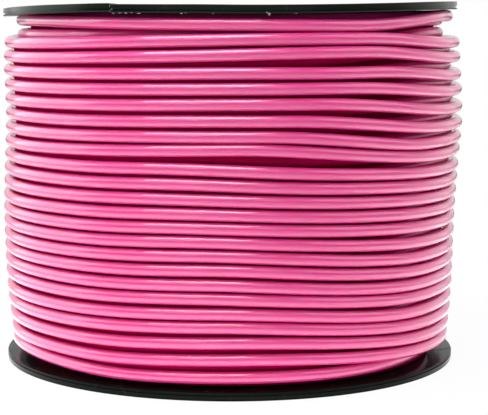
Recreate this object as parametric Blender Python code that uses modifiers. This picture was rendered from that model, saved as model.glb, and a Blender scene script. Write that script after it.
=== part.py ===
"""A moulded line spool wound over-full with thick plastic line.

Two black flanges plug into the ends of a winding barrel and click into its windows. An arbor tube
is trapped between them and lines the spindle hole. The line starts at a hole in the barrel, fills
it layer by layer, and its outer layer runs down the spool as one unbroken coil.

Metres, +Z up along the spindle. The origin is the middle of the lower flange's resting face.
Angles are in degrees from the front (-Y) towards +X.
"""

import math

import bmesh
import bpy
import numpy as np
from mathutils import Matrix, Vector

MM = 0.001

# Whole spool
FLANGE_DIAMETER = 101.6 * MM
SPOOL_HEIGHT = 79.3 * MM
FIT_GAP = 0.3 * MM  # between pieces that touch

# Flanges
RIM_THICKNESS = 1.65 * MM
RIM_BEAD_WIDTH = 2.4 * MM
RIM_ROUNDING = 0.35 * MM
WEB_RECESS = 0.35 * MM  # the web's outer face lies this far in from the rim bead's face
DISH_DEPTH = 4.5 * MM  # the hub's dish, from the rim bead's face to its floor
DISH_FLOOR = 1.5 * MM
SPIGOT_WALL = 1.6 * MM
SPIGOT_HEIGHT = 10.0 * MM  # from the web's inner face to the spigot's free end
HUB_WALL = 1.6 * MM
SOCKET_DEPTH = 8.0 * MM
ARBOR_LIP = 1.6 * MM  # the hub's end wall, which the arbor tube stands on
RIB_COUNT = 8
RIB_THICKNESS = 1.2 * MM
EDGE_BREAK = 0.3 * MM

# Line slits in the rims, two on each flange, opposite each other
SLIT_WIDTH = 0.5 * MM
SLIT_LENGTH = 5.0 * MM
SLIT_LEAN = 50.0  # each slit leans this far off the radius at its mouth
LOWER_SLIT_ANGLE = 84.0
UPPER_SLIT_ANGLE = -27.0

# Barrels
BARREL_DIAMETER = 50.0 * MM
BARREL_WALL = 1.8 * MM
ARBOR_BORE = 16.0 * MM
ARBOR_WALL = 1.8 * MM

# Snap lugs on the spigots, and their windows in the barrel
LUG_COUNT = 4
LUG_WIDTH = 6.0 * MM
LUG_HEIGHT = 2.4 * MM
LUG_FROM_END = 1.6 * MM  # from the spigot's free end to the lug
LUG_COVER = 0.5 * MM  # barrel wall left outside the lug
TONGUE_SLOT = 1.2 * MM  # slot on each side of the tongue that a lug stands on

# Line
LINE_DIAMETER = 2.5 * MM
TURN_GAP = 0.44 * MM  # least gap between neighbouring turns
MOST_TURNS = 24
TOP_MARGIN = 1.05 * MM  # from the upper flange to the first turn
BOTTOM_MARGIN = 0.8 * MM  # from the last turn to the lower flange
OVERFILL = 0.7 * MM  # how far the fullest turns stand out past the flanges
BOTTOM_FALL = 1.8 * MM  # how much slimmer the winding is at its last turn
TOP_TUCK = 2.6 * MM  # how much the first turn is drawn in under the flange
TOP_TUCK_REACH = 2.1 * MM  # height over which that draw fades
CROSSING_MIDDLE = 20.0  # each turn is level, and steps down beside the next one about here
CROSSING_LEAN = 110.0  # the step lies this much further round on the first turn
CROSSING_LEAN_TURNS = 3.0  # turns over which that lean fades
CROSSING_SPAN = 40.0
OUTER_START_ANGLE = -120.0  # where the outer layer comes up from the layers beneath it
OUTER_END_ANGLE = 75.0  # where its last turn goes down into them again
LEAD_BEND = 1.5 * LINE_DIAMETER
LEAD_STRAIGHT = LINE_DIAMETER
START_HOLE_ANGLE = 200.0
START_TAIL_BEND = 5.0 * MM
START_TAIL_LENGTH = 9.0 * MM  # the cut end's straight run inside the barrel

# Facets
FLANGE_SEGMENTS = 48
BARREL_SEGMENTS = 48
LOOP_POINTS = 24
LEAD_POINTS = 4

# Worked out from the sizes above
FLANGE_RADIUS = FLANGE_DIAMETER / 2
LINE_RADIUS = LINE_DIAMETER / 2
BARREL_RADIUS = BARREL_DIAMETER / 2
BARREL_INNER_RADIUS = BARREL_RADIUS - BARREL_WALL
SPIGOT_RADIUS = BARREL_INNER_RADIUS - FIT_GAP
DISH_RADIUS = SPIGOT_RADIUS - SPIGOT_WALL
BORE_RADIUS = ARBOR_BORE / 2
ARBOR_RADIUS = BORE_RADIUS + ARBOR_WALL
SOCKET_RADIUS = ARBOR_RADIUS + FIT_GAP
HUB_RADIUS = SOCKET_RADIUS + HUB_WALL
SPIGOT_TOP = RIM_THICKNESS + SPIGOT_HEIGHT
LUG_TOP = SPIGOT_TOP - LUG_FROM_END
LUG_BOTTOM = LUG_TOP - LUG_HEIGHT
LUG_REACH = BARREL_RADIUS - LUG_COVER
START_HOLE_HEIGHT = SPIGOT_TOP + 2 * LINE_DIAMETER
FIRST_TURN_HEIGHT = SPOOL_HEIGHT - RIM_THICKNESS - TOP_MARGIN - LINE_RADIUS
LAST_TURN_HEIGHT = RIM_THICKNESS + BOTTOM_MARGIN + LINE_RADIUS
TURNS = min(
    MOST_TURNS,
    int((FIRST_TURN_HEIGHT - LAST_TURN_HEIGHT) / (LINE_DIAMETER + TURN_GAP)),
)
TURN_PITCH = (FIRST_TURN_HEIGHT - LAST_TURN_HEIGHT) / TURNS
LAST_ANGLE = OUTER_END_ANGLE + 360.0 * (TURNS - 1)
CHORD_SHORTFALL = 1 - math.cos(math.pi / LOOP_POINTS)  # of a loop's radius, at the middle of a side

BLACK_PLASTIC = ("black_plastic", (0.012, 0.013, 0.013), 0.28)
GREY_BLACK_PLASTIC = ("barrel_plastic", (0.020, 0.021, 0.021), 0.40)
PINK_LINE = ("pink_line", (0.84, 0.10, 0.34), 0.30)
PINK_LINE_UNDER = ("pink_line_under", (0.42, 0.01, 0.09), 0.45)


def new_collection(name):
    collection = bpy.data.collections.new(name)
    bpy.context.scene.collection.children.link(collection)
    return collection


def new_material(name, colour, roughness):
    material = bpy.data.materials.new(name)
    material.use_nodes = True
    shader = material.node_tree.nodes["Principled BSDF"]
    shader.inputs["Base Color"].default_value = (*colour, 1.0)
    shader.inputs["Roughness"].default_value = roughness
    shader.inputs["Metallic"].default_value = 0.0
    material.diffuse_color = (*colour, 1.0)
    return material


def new_object(name, data, collection):
    piece = bpy.data.objects.new(name, data)
    collection.objects.link(piece)
    return piece


def as_cutter(piece):
    """A guide that shapes another piece and isn't one itself."""
    piece.hide_render = True
    piece.display_type = "WIRE"
    return piece


def turned(name, profile, segments, collection):
    """A closed (radius, height) profile, clockwise with the axis on its left, spun round Z."""
    mesh = bpy.data.meshes.new(name)
    points = [(radius, 0.0, height) for radius, height in profile]
    mesh.from_pydata(points, [(i, (i + 1) % len(points)) for i in range(len(points))], [])
    piece = new_object(name, mesh, collection)
    screw = piece.modifiers.new("turn", "SCREW")
    screw.axis = "Z"
    screw.angle = math.tau
    screw.steps = segments
    screw.render_steps = segments
    screw.use_merge_vertices = True
    screw.merge_threshold = 0.00001
    return piece


def ring_of_blocks(name, angles, inner, outer, low, high, width, collection, lean=0.0, ramp=0.0):
    """Upright blocks round the axis, each from one radius to another and from one height to another.

    lean turns a block about its own middle, and ramp slopes its outer face in towards the top.
    """
    mesh = bpy.data.meshes.new(name)
    shape = bmesh.new()
    for angle in angles:
        block = bmesh.ops.create_cube(shape, size=1.0)["verts"]
        bmesh.ops.scale(shape, vec=(outer - inner, width, high - low), verts=block)
        for vert in block:
            if vert.co.x > 0 and vert.co.z > 0:
                vert.co.x -= ramp
        off_radius = Matrix.Rotation(math.radians(lean), 3, "Z")
        bmesh.ops.rotate(shape, cent=(0, 0, 0), matrix=off_radius, verts=block)
        middle = Vector(((inner + outer) / 2, 0.0, (low + high) / 2))
        bmesh.ops.translate(shape, vec=middle, verts=block)
        turn = Matrix.Rotation(math.radians(angle - 90.0), 3, "Z")
        bmesh.ops.rotate(shape, cent=(0, 0, 0), matrix=turn, verts=block)
    shape.to_mesh(mesh)
    shape.free()
    return as_cutter(new_object(name, mesh, collection))


def combine(piece, other, operation):
    boolean = piece.modifiers.new(other.name, "BOOLEAN")
    boolean.operation = operation
    boolean.solver = "EXACT"
    boolean.object = other


def evenly_round(count, first=0.0):
    return [first + 360.0 * i / count for i in range(count)]


def finish(piece, material, sharp_angle=35.0):
    """Makes the modifiers' result the piece's own mesh, shaded smooth where it is round."""
    graph = bpy.context.evaluated_depsgraph_get()
    mesh = bpy.data.meshes.new_from_object(piece.evaluated_get(graph))
    piece.modifiers.clear()
    piece.data = mesh
    mesh.name = piece.name
    mesh.shade_smooth()
    mesh.set_sharp_from_angle(angle=math.radians(sharp_angle))
    mesh.materials.clear()
    mesh.materials.append(material)
    return piece


def tube(name, points, radius, bevel_resolution, collection):
    curve = bpy.data.curves.new(name, "CURVE")
    curve.dimensions = "3D"
    curve.bevel_depth = radius
    curve.bevel_resolution = bevel_resolution
    curve.use_fill_caps = True
    spline = curve.splines.new("POLY")
    spline.points.add(len(points) - 1)
    for place, point in zip(spline.points, points):
        place.co = (*point, 1.0)
    return new_object(name, curve, collection)


def tube_cutter(name, points, radius, collection):
    """A tube made a closed mesh, so that it can cut."""
    guide = tube(name + "_path", points, radius, 2, collection)
    graph = bpy.context.evaluated_depsgraph_get()
    mesh = bpy.data.meshes.new_from_object(guide.evaluated_get(graph))
    shape = bmesh.new()
    shape.from_mesh(mesh)
    bmesh.ops.remove_doubles(shape, verts=shape.verts, dist=0.00001)
    bmesh.ops.recalc_face_normals(shape, faces=shape.faces)
    shape.to_mesh(mesh)
    shape.free()
    cutter = new_object(name, mesh, collection)
    cutter.matrix_world = guide.matrix_world
    bpy.data.objects.remove(guide, do_unlink=True)
    return as_cutter(cutter)


def outward(angle):
    turn = math.radians(angle)
    return Vector((math.sin(turn), -math.cos(turn), 0.0))


def onward(angle):
    turn = math.radians(angle)
    return Vector((math.cos(turn), math.sin(turn), 0.0))


def flange_profile():
    """The lower flange: rim bead, recessed web, dish, hub with its socket, and spigot."""
    floor_top = DISH_DEPTH + DISH_FLOOR
    bead_inner = FLANGE_RADIUS - RIM_BEAD_WIDTH
    return [
        (FLANGE_RADIUS - RIM_ROUNDING, RIM_THICKNESS),
        (FLANGE_RADIUS, RIM_THICKNESS - RIM_ROUNDING),
        (FLANGE_RADIUS, RIM_ROUNDING),
        (FLANGE_RADIUS - RIM_ROUNDING, 0.0),
        (bead_inner, 0.0),
        (bead_inner - WEB_RECESS, WEB_RECESS),
        (DISH_RADIUS + EDGE_BREAK, WEB_RECESS),
        (DISH_RADIUS, WEB_RECESS + EDGE_BREAK),
        (DISH_RADIUS, DISH_DEPTH),
        (HUB_RADIUS, DISH_DEPTH),
        (HUB_RADIUS, EDGE_BREAK),
        (HUB_RADIUS - EDGE_BREAK, 0.0),
        (BORE_RADIUS + EDGE_BREAK, 0.0),
        (BORE_RADIUS, EDGE_BREAK),
        (BORE_RADIUS, ARBOR_LIP),
        (SOCKET_RADIUS, ARBOR_LIP),
        (SOCKET_RADIUS, ARBOR_LIP + SOCKET_DEPTH),
        (HUB_RADIUS, ARBOR_LIP + SOCKET_DEPTH),
        (HUB_RADIUS, floor_top),
        (DISH_RADIUS, floor_top),
        (DISH_RADIUS, SPIGOT_TOP),
        (SPIGOT_RADIUS - EDGE_BREAK, SPIGOT_TOP),
        (SPIGOT_RADIUS, SPIGOT_TOP - EDGE_BREAK),
        (SPIGOT_RADIUS, RIM_THICKNESS),
    ]


def make_flange(name, slit_angle, upper, model, cutters, material):
    """One flange, made as the lower one. The upper one is the same moulding turned over."""
    flange = turned(name, flange_profile(), FLANGE_SEGMENTS, model)
    wall_overlap = 0.5 * min(SPIGOT_WALL, HUB_WALL)
    lug_angles = evenly_round(LUG_COUNT)
    ribs = ring_of_blocks(
        name + "_ribs",
        evenly_round(RIB_COUNT, 180.0 / RIB_COUNT),
        HUB_RADIUS - wall_overlap,
        DISH_RADIUS + wall_overlap,
        WEB_RECESS + EDGE_BREAK,
        DISH_DEPTH + DISH_FLOOR / 2,
        RIB_THICKNESS,
        cutters,
    )
    combine(flange, ribs, "UNION")
    lugs = ring_of_blocks(
        name + "_lugs",
        lug_angles,
        SPIGOT_RADIUS - SPIGOT_WALL / 2,
        LUG_REACH,
        LUG_BOTTOM,
        LUG_TOP,
        LUG_WIDTH,
        cutters,
        ramp=(LUG_REACH - SPIGOT_RADIUS) / 2,
    )
    combine(flange, lugs, "UNION")
    slot_offset = math.degrees((LUG_WIDTH / 2 + TONGUE_SLOT) / SPIGOT_RADIUS)
    tongue_slots = ring_of_blocks(
        name + "_tongue_slots",
        [angle + side * slot_offset for angle in lug_angles for side in (-1, 1)],
        DISH_RADIUS - SPIGOT_WALL,
        SPIGOT_RADIUS + SPIGOT_WALL,
        DISH_DEPTH + DISH_FLOOR + FIT_GAP,
        SPIGOT_TOP + SPIGOT_WALL,
        TONGUE_SLOT,
        cutters,
    )
    combine(flange, tongue_slots, "DIFFERENCE")
    slits = ring_of_blocks(
        name + "_line_slits",
        evenly_round(2, -slit_angle if upper else slit_angle),
        FLANGE_RADIUS - SLIT_LENGTH,
        FLANGE_RADIUS + SLIT_LENGTH,
        -RIM_THICKNESS,
        2 * RIM_THICKNESS,
        SLIT_WIDTH,
        cutters,
        lean=SLIT_LEAN,
    )
    combine(flange, slits, "DIFFERENCE")
    finish(flange, material)
    if upper:
        turn_over = Matrix.Translation((0, 0, SPOOL_HEIGHT)) @ Matrix.Rotation(math.pi, 4, "Y")
        flange.data.transform(turn_over)
    return flange


def make_winding_barrel(model, cutters, material):
    """The outer tube: it slips over both spigots, and its windows catch their lugs."""
    low = RIM_THICKNESS + FIT_GAP
    high = SPOOL_HEIGHT - RIM_THICKNESS - FIT_GAP
    barrel = turned(
        "winding_barrel",
        [
            (BARREL_RADIUS, high),
            (BARREL_RADIUS, low),
            (BARREL_INNER_RADIUS, low),
            (BARREL_INNER_RADIUS, high),
        ],
        BARREL_SEGMENTS,
        model,
    )
    for end, bottom, top in (
        ("lower", LUG_BOTTOM, LUG_TOP),
        ("upper", SPOOL_HEIGHT - LUG_TOP, SPOOL_HEIGHT - LUG_BOTTOM),
    ):
        windows = ring_of_blocks(
            end + "_windows",
            evenly_round(LUG_COUNT),
            BARREL_INNER_RADIUS - BARREL_WALL,
            BARREL_RADIUS + BARREL_WALL,
            bottom - FIT_GAP,
            top + FIT_GAP,
            LUG_WIDTH + 2 * FIT_GAP,
            cutters,
        )
        combine(barrel, windows, "DIFFERENCE")
    hole_path = [
        outward(START_HOLE_ANGLE) * radius + Vector((0, 0, START_HOLE_HEIGHT))
        for radius in (BARREL_INNER_RADIUS - BARREL_WALL, BARREL_RADIUS + BARREL_WALL)
    ]
    start_hole = tube_cutter("start_hole", hole_path, LINE_RADIUS + FIT_GAP, cutters)
    combine(barrel, start_hole, "DIFFERENCE")
    return finish(barrel, material)


def make_arbor_tube(model, material):
    """The inner tube that runs on the spindle, held between the flanges' end walls."""
    low = ARBOR_LIP + FIT_GAP
    high = SPOOL_HEIGHT - ARBOR_LIP - FIT_GAP
    arbor = turned(
        "arbor_tube",
        [
            (ARBOR_RADIUS - EDGE_BREAK, high),
            (ARBOR_RADIUS, high - EDGE_BREAK),
            (ARBOR_RADIUS, low + EDGE_BREAK),
            (ARBOR_RADIUS - EDGE_BREAK, low),
            (BORE_RADIUS, low),
            (BORE_RADIUS, high),
        ],
        BARREL_SEGMENTS,
        model,
    )
    return finish(arbor, material)


def winding_radius(height):
    """The radius to the outside of the outer layer's turns at a height."""
    fallen = (FIRST_TURN_HEIGHT - height) / (FIRST_TURN_HEIGHT - LAST_TURN_HEIGHT)
    tuck = TOP_TUCK * math.exp(-(((FIRST_TURN_HEIGHT - height) / TOP_TUCK_REACH) ** 2))
    return FLANGE_RADIUS + OVERFILL - BOTTOM_FALL * max(fallen, 0.0) ** 3 - tuck


def core_radius(height):
    """The radius of the layers beneath, clear of every turn that lies over this height."""
    reach = LINE_DIAMETER
    slimmest = min(winding_radius(height + reach * i / 4) for i in range(-4, 5))
    path_radius = slimmest - LINE_RADIUS
    return path_radius * (1 - CHORD_SHORTFALL) - LINE_RADIUS - FIT_GAP


def steps_down(angle):
    """How many turns down the line has stepped at an angle, counted from its start."""

    def stepped(turned_by):
        whole = math.floor(turned_by / 360.0)
        middle = CROSSING_MIDDLE + CROSSING_LEAN * math.exp(-max(whole, 0) / CROSSING_LEAN_TURNS)
        through = (turned_by - 360.0 * whole - middle) / CROSSING_SPAN + 0.5
        through = min(max(through, 0.0), 1.0)
        return whole + through * through * (3 - 2 * through)

    return stepped(angle) - stepped(OUTER_START_ANGLE)


def turn_point(angle):
    height = FIRST_TURN_HEIGHT - TURN_PITCH * steps_down(angle)
    radius = winding_radius(height) - LINE_RADIUS
    return outward(angle) * radius + Vector((0, 0, height))


def lead(angle, side):
    """The line coming up out of the layers beneath, square to them, and bending along the turn.

    side is 1 where the line comes up and -1, taken backwards, where it goes down again.
    """
    surface = turn_point(angle)
    out = outward(angle)
    along = onward(angle) * side
    points = [surface - out * (LEAD_BEND + LEAD_STRAIGHT), surface - out * LEAD_BEND]
    for i in range(1, LEAD_POINTS + 1):
        bend = math.pi / 2 * i / LEAD_POINTS
        points.append(
            surface
            - out * LEAD_BEND * (1 - math.sin(bend))
            + along * LEAD_BEND * (1 - math.cos(bend))
        )
    return points


def outer_layer_route():
    """Every point of the outer layer, from where it comes up to where its end is tucked in."""
    sweep = LAST_ANGLE - OUTER_START_ANGLE
    steps = round(sweep / 360.0 * LOOP_POINTS)
    route = lead(OUTER_START_ANGLE, 1)
    route += [turn_point(OUTER_START_ANGLE + sweep * i / steps) for i in range(1, steps)]
    route += reversed(lead(LAST_ANGLE, -1))
    return route


def least_gap(route, diameter):
    """The least clear space between stretches of the line that are half a turn or more apart."""
    corners = np.array(route)
    halfway = (corners[:-1] + corners[1:]) / 2
    places = np.empty((len(corners) + len(halfway), 3))
    places[0::2] = corners
    places[1::2] = halfway
    apart = np.linalg.norm(places[:, None] - places[None, :], axis=2)
    order = np.arange(len(places))
    near_along = np.abs(order[:, None] - order[None, :]) < LOOP_POINTS
    return apart[~near_along].min() - diameter


def make_outer_layer(model, material):
    route = outer_layer_route()
    layer = tube("line_outer_layer", route, LINE_RADIUS, 1, model)
    layer.data.materials.append(material)
    gap = least_gap(route, LINE_DIAMETER)
    print(f"outer layer: {TURNS} turns, pitch {TURN_PITCH / MM:.2f} mm, least gap {gap / MM:.2f} mm")
    return layer


def make_inner_layers(model, cutters, material):
    """The layers beneath as one turned core, with a pocket where each end of the outer one dives in."""
    low = RIM_THICKNESS + FIT_GAP
    high = SPOOL_HEIGHT - RIM_THICKNESS - FIT_GAP
    stations = 14
    heights = [high + (low - high) * i / (stations - 1) for i in range(stations)]
    profile = [(core_radius(height), height) for height in heights]
    profile += [(BARREL_RADIUS + FIT_GAP, low), (BARREL_RADIUS + FIT_GAP, high)]
    core = turned("line_inner_layers", profile, BARREL_SEGMENTS, model)
    for place, angle, side in (("start", OUTER_START_ANGLE, 1), ("end", LAST_ANGLE, -1)):
        path = lead(angle, side)[:-1]
        path[0] -= outward(angle) * FIT_GAP
        pocket = tube_cutter(place + "_pocket", path, LINE_RADIUS + FIT_GAP, cutters)
        combine(core, pocket, "DIFFERENCE")
    return finish(core, material)


def make_start_tail(model, material):
    """The line's first end: through the barrel's hole and up inside, clear of the arbor tube."""
    out = outward(START_HOLE_ANGLE)
    hole = Vector((0, 0, START_HOLE_HEIGHT))
    bend_start = BARREL_INNER_RADIUS - LINE_DIAMETER
    bend_centre = hole + out * bend_start + Vector((0, 0, START_TAIL_BEND))
    points = [hole + out * BARREL_RADIUS]
    bend_steps = 6
    for i in range(bend_steps + 1):
        bend = math.pi / 2 * i / bend_steps
        sideways = -out * math.sin(bend) * START_TAIL_BEND
        points.append(bend_centre + sideways - Vector((0, 0, math.cos(bend) * START_TAIL_BEND)))
    points.append(points[-1] + Vector((0, 0, START_TAIL_LENGTH)))
    tail = tube("line_start_tail", points, LINE_RADIUS, 2, model)
    tail.data.materials.append(material)
    return tail


def main():
    for old in list(bpy.data.objects):
        bpy.data.objects.remove(old, do_unlink=True)
    model = new_collection("fishing_line_spool")
    cutters = new_collection("cutters")
    black = new_material(*BLACK_PLASTIC)
    barrel_black = new_material(*GREY_BLACK_PLASTIC)
    pink = new_material(*PINK_LINE)
    pink_under = new_material(*PINK_LINE_UNDER)

    make_flange("lower_flange", LOWER_SLIT_ANGLE, False, model, cutters, black)
    make_flange("upper_flange", UPPER_SLIT_ANGLE, True, model, cutters, black)
    make_winding_barrel(model, cutters, barrel_black)
    make_arbor_tube(model, barrel_black)
    make_inner_layers(model, cutters, pink_under)
    make_outer_layer(model, pink)
    make_start_tail(model, pink)


main()
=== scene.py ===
import math
import random

import bmesh
import bpy
from mathutils import Matrix, Vector


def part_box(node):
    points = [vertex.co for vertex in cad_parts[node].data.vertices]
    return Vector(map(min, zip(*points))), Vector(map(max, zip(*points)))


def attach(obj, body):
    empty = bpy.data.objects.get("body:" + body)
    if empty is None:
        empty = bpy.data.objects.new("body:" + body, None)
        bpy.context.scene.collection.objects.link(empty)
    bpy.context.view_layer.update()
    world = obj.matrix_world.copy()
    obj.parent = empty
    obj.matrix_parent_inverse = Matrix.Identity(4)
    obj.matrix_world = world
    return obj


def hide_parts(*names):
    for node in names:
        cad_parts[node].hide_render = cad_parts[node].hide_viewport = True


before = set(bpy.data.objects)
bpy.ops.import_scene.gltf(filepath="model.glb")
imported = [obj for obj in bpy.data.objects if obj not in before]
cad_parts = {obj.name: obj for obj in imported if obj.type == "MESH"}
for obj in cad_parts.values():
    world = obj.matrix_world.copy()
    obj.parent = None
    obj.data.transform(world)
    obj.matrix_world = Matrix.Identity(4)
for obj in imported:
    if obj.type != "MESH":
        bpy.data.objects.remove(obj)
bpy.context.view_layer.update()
scene = bpy.context.scene
mm = 0.001

# Angles are degrees from the front (-Y), growing towards +X. Lengths in the dictionaries are
# millimetres, except where a line says metres.


def outward(angle):
    turn = math.radians(angle)
    return Vector((math.sin(turn), -math.cos(turn), 0.0))


def ease(share):
    share = min(max(share, 0.0), 1.0)
    return share * share * (3 - 2 * share)


def hump(place, middle, reach):
    return math.exp(-(((place - middle) / reach) ** 2))


def readCurve(knots, place):  # a smooth curve through a few chosen values
    places = sorted(knots)
    place = min(max(place, places[0]), places[-1])
    spot = next(i for i in range(len(places) - 1) if place <= places[i + 1])

    def slope(i):
        low, high = max(i - 1, 0), min(i + 1, len(places) - 1)
        return (knots[places[high]] - knots[places[low]]) / (places[high] - places[low])

    width = places[spot + 1] - places[spot]
    t = (place - places[spot]) / width
    near = knots[places[spot]] * (1 + 2 * t) * (1 - t) ** 2 + slope(spot) * width * t * (1 - t) ** 2
    far = knots[places[spot + 1]] * t * t * (3 - 2 * t) + slope(spot + 1) * width * t * t * (t - 1)
    return near + far


view = {
    "place": (0.0, -371.6, 78.07),
    "turnedRight": 0.491,
    "tiltedDown": 6.891,
    "rolled": 0.141,
    "focalPixels": 1633.0,
    "photoWidth": 488.0,
    "sensor": 36.0,
    "nearest": 0.01,  # metres
}


def makeCamera():
    data = bpy.data.cameras.new("photoCamera")
    data.sensor_width = view["sensor"]
    data.lens = view["sensor"] * view["focalPixels"] / view["photoWidth"]
    data.clip_start = view["nearest"]
    camera = bpy.data.objects.new("photoCamera", data)
    scene.collection.objects.link(camera)
    heading = Matrix.Rotation(math.radians(-view["turnedRight"]), 4, "Z")
    tilt = Matrix.Rotation(math.radians(90 - view["tiltedDown"]), 4, "X")
    roll = Matrix.Rotation(math.radians(view["rolled"]), 4, "Z")
    camera.matrix_world = Matrix.Translation(Vector(view["place"]) * mm) @ heading @ tilt @ roll
    scene.camera = camera


makeCamera()
print("camera ready")


def newGroup(name, inputs, outputs):
    tree = bpy.data.node_groups.new(name, "ShaderNodeTree")
    for label, kind, start in inputs:
        socket = tree.interface.new_socket(label, in_out="INPUT", socket_type=kind)
        if start is not None:
            socket.default_value = start
    for label, kind in outputs:
        tree.interface.new_socket(label, in_out="OUTPUT", socket_type=kind)
    return tree, tree.nodes.new("NodeGroupInput"), tree.nodes.new("NodeGroupOutput")


def addNode(tree, kind, **settings):
    node = tree.nodes.new(kind)
    for name, value in settings.items():
        if name in node.inputs:
            node.inputs[name].default_value = value
        else:
            setattr(node, name, value)
    return node


def stretch(tree, vector, size):  # a vector scaled by one number or by a socket
    node = tree.nodes.new("ShaderNodeVectorMath")
    node.operation = "SCALE"
    tree.links.new(vector, node.inputs[0])
    if isinstance(size, (int, float)):
        node.inputs["Scale"].default_value = size
    else:
        tree.links.new(size, node.inputs["Scale"])
    return node.outputs[0]


def noiseOn(tree, vector, scale, detail, roughness):
    noise = addNode(tree, "ShaderNodeTexNoise", Scale=scale, Detail=detail, Roughness=roughness)
    tree.links.new(vector, noise.inputs["Vector"])
    return noise.outputs["Fac"]


def mapRange(tree, value, low, high, newLow=0.0, newHigh=1.0):
    node = tree.nodes.new("ShaderNodeMapRange")
    for name, number in (("From Min", low), ("From Max", high), ("To Min", newLow), ("To Max", newHigh)):
        node.inputs[name].default_value = number
    tree.links.new(value, node.inputs["Value"])
    return node.outputs["Result"]


def mathNode(tree, operation, first, second):
    node = tree.nodes.new("ShaderNodeMath")
    node.operation = operation
    for socket, value in zip(node.inputs, (first, second)):
        if isinstance(value, (int, float)):
            socket.default_value = value
        else:
            tree.links.new(value, socket)
    return node.outputs[0]


def mixColours(tree, share, first, second):
    node = tree.nodes.new("ShaderNodeMix")
    node.data_type = "RGBA"
    colourInputs = [socket for socket in node.inputs if socket.type == "RGBA"]
    for socket, value in zip(colourInputs, (first, second)):
        if isinstance(value, tuple):
            socket.default_value = (*value, 1.0)
        else:
            tree.links.new(value, socket)
    tree.links.new(share, node.inputs["Factor"])
    return next(socket for socket in node.outputs if socket.type == "RGBA")


streakPattern = {
    "fineDetail": (4.0, 0.6),  # detail and roughness of the noise
    "slowScale": 0.23,
    "slowDetail": (2.0, 0.5),
    "contrast": (0.3, 0.7),
}


def makeDrawnStreaks():
    # the fine lines that the die leaves along extruded line, and slower changes of shade
    tree, entry, out = newGroup(
        "drawnStreaks",
        [("Vector", "NodeSocketVector", None), ("Fineness", "NodeSocketFloat", 1.0)],
        [("Streak", "NodeSocketFloat"), ("Cloud", "NodeSocketFloat")],
    )
    scaled = stretch(tree, entry.outputs["Vector"], entry.outputs["Fineness"])
    streak = noiseOn(tree, scaled, 1.0, *streakPattern["fineDetail"])
    slower = stretch(tree, scaled, streakPattern["slowScale"])
    cloud = noiseOn(tree, slower, 1.0, *streakPattern["slowDetail"])
    tree.links.new(mapRange(tree, streak, *streakPattern["contrast"]), out.inputs["Streak"])
    tree.links.new(mapRange(tree, cloud, *streakPattern["contrast"]), out.inputs["Cloud"])
    return tree


skinPattern = {  # scale, detail and roughness of each noise, and what of it is kept
    "grain": (2600.0, 2.0, 0.55),
    "flow": (90.0, 3.0, 0.6),
    "flowContrast": (0.3, 0.7),
    "scuff": (420.0, 6.0, 0.7),
    "scuffContrast": (0.60, 0.74),
}


def makeMouldedSkin():
    # what a moulded part's skin shows: fine grain, flow marks and scattered scuffs
    tree, entry, out = newGroup(
        "mouldedSkin",
        [("Vector", "NodeSocketVector", None), ("Grain Scale", "NodeSocketFloat", 1.0)],
        [("Grain", "NodeSocketFloat"), ("Flow", "NodeSocketFloat"), ("Scuff", "NodeSocketFloat")],
    )
    scaled = stretch(tree, entry.outputs["Vector"], entry.outputs["Grain Scale"])
    grain = noiseOn(tree, scaled, *skinPattern["grain"])
    flow = noiseOn(tree, scaled, *skinPattern["flow"])
    scuff = noiseOn(tree, scaled, *skinPattern["scuff"])
    tree.links.new(grain, out.inputs["Grain"])
    tree.links.new(mapRange(tree, flow, *skinPattern["flowContrast"]), out.inputs["Flow"])
    tree.links.new(mapRange(tree, scuff, *skinPattern["scuffContrast"]), out.inputs["Scuff"])
    return tree


drawnStreaks = makeDrawnStreaks()
mouldedSkin = makeMouldedSkin()


def newMaterial(name):
    material = bpy.data.materials.new(name)
    material.use_nodes = True
    tree = material.node_tree
    shader = tree.nodes["Principled BSDF"]
    return material, tree, shader


def groupNode(tree, group, vector, **settings):
    node = tree.nodes.new("ShaderNodeGroup")
    node.node_tree = group
    tree.links.new(vector, node.inputs["Vector"])
    for name, value in settings.items():
        node.inputs[name.replace("_", " ")].default_value = value
    return node


def bump(tree, shader, height, strength, distance):
    node = addNode(tree, "ShaderNodeBump", Strength=strength, Distance=distance)
    tree.links.new(height, node.inputs["Height"])
    tree.links.new(node.outputs["Normal"], shader.inputs["Normal"])


lineFinish = {
    "pink": (0.72, 0.036, 0.248),
    "paler": (0.75, 0.050, 0.278),
    # painted shade: darker copies of the pink for the under turns, which lie in the winding's shade
    "shaded": (0.42, 0.002, 0.065),
    "shadedPaler": (0.50, 0.004, 0.090),
    # painted shade: darker copies of the pink for the inner core, which lies deepest in the winding's shade
    "coreShade": (0.26, 0.001, 0.03),
    "coreShadePaler": (0.32, 0.002, 0.045),
    "streakShare": 0.6,  # of the paler colour: fine streaks, then slow clouds
    "cloudShare": 0.4,
    "roughness": (0.30, 0.35),
    "coreRoughness": 0.6,
    "ior": 1.5,
    "coat": 1.0,
    "coatRoughness": 0.09,
    "coatIor": 1.72,
    "soak": 0.55,  # how much light spreads inside the line, and how far each colour goes
    "soakReach": (1.0, 0.12, 0.35),
    "soakScale": 0.0011,  # metres
    "streakBump": 0.009,
    "streakDepth": 0.00004,  # metres
    "alongPerMetre": 4.0,
    "acrossPerTurn": 22.0,
    "plainScale": (60.0, 60.0, 1500.0),
    "litAside": (0.026, 0.044),  # metres: where light reaches between the turns, at the right
    "litBlend": 0.004,  # over what share of the path the last turn brightens
}


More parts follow.
